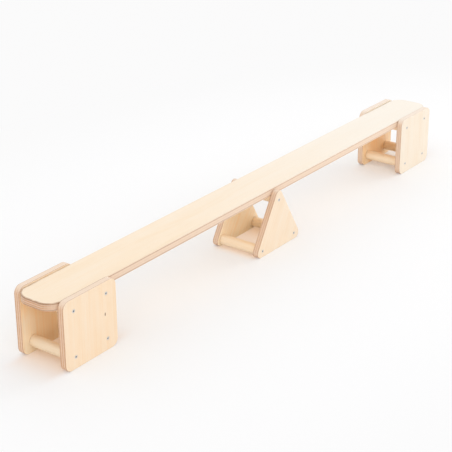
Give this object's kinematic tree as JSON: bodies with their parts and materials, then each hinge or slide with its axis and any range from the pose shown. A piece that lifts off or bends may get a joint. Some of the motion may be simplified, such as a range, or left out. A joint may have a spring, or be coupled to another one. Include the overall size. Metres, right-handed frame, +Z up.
{
  "type": "balance beam",
  "caption": "Low wooden balance beam: a rounded plywood plank lies between the panels of square end stands and over a triangular middle stand, on round dowels.",
  "frame": {"origin": "on the floor, below the middle of the plank", "axes": "+X along the beam, +Z up, and the front panels face -Y"},
  "size_m": [1.8, 0.158, 0.185],
  "materials": {
    "plank_plywood": "pale birch plywood, clear satin",
    "end_panel_plywood": "birch plywood, clear satin, layered edges",
    "middle_panel_plywood": "birch plywood, clear satin, layered edges",
    "dowel_wood": "turned hardwood, sanded",
    "screw_zinc": "zinc-plated"
  },
  "bodies": {
    "left_stand": {"left_front_panel": "end_panel_plywood", "left_back_panel": "end_panel_plywood", "left_outer_rail": "dowel_wood", "left_inner_rail": "dowel_wood", "left_outer_bearer": "dowel_wood", "left_inner_bearer": "dowel_wood", "left_front_outer_rail_screw": "screw_zinc", "left_back_outer_rail_screw": "screw_zinc", "left_front_inner_rail_screw": "screw_zinc", "left_back_inner_rail_screw": "screw_zinc", "left_front_outer_bearer_screw": "screw_zinc", "left_back_outer_bearer_screw": "screw_zinc", "left_front_inner_bearer_screw": "screw_zinc", "left_back_inner_bearer_screw": "screw_zinc"},
    "plank": {"plank": "plank_plywood"},
    "right_stand": {"right_front_panel": "end_panel_plywood", "right_back_panel": "end_panel_plywood", "right_outer_rail": "dowel_wood", "right_inner_rail": "dowel_wood", "right_outer_bearer": "dowel_wood", "right_inner_bearer": "dowel_wood", "right_front_outer_rail_screw": "screw_zinc", "right_back_outer_rail_screw": "screw_zinc", "right_front_inner_rail_screw": "screw_zinc", "right_back_inner_rail_screw": "screw_zinc", "right_front_outer_bearer_screw": "screw_zinc", "right_back_outer_bearer_screw": "screw_zinc", "right_front_inner_bearer_screw": "screw_zinc", "right_back_inner_bearer_screw": "screw_zinc"},
    "middle_stand": {"middle_front_panel": "middle_panel_plywood", "middle_back_panel": "middle_panel_plywood", "middle_left_rail": "dowel_wood", "middle_right_rail": "dowel_wood", "middle_bearer": "dowel_wood", "middle_front_left_rail_screw": "screw_zinc", "middle_back_left_rail_screw": "screw_zinc", "middle_front_right_rail_screw": "screw_zinc", "middle_back_right_rail_screw": "screw_zinc", "middle_front_bearer_screw": "screw_zinc", "middle_back_bearer_screw": "screw_zinc"}
  },
  "joints": [
    {"name": "plank_lift", "type": "slide", "parent": "left_stand", "child": "plank", "axis": [0, 0, 1], "range_m": [0, 0.1]},
    {"name": "right_stand_release", "type": "slide", "parent": "plank", "child": "right_stand", "axis": [0, 0, -1], "range_m": [0, 0.1]},
    {"name": "middle_stand_slide", "type": "slide", "parent": "left_stand", "child": "middle_stand", "axis": [1, 0, 0], "range_m": [-0.595, 0.589]}
  ],
  "couplings": [
    {"joint": "right_stand_release", "follows": "plank_lift", "ratio": 1}
  ]
}
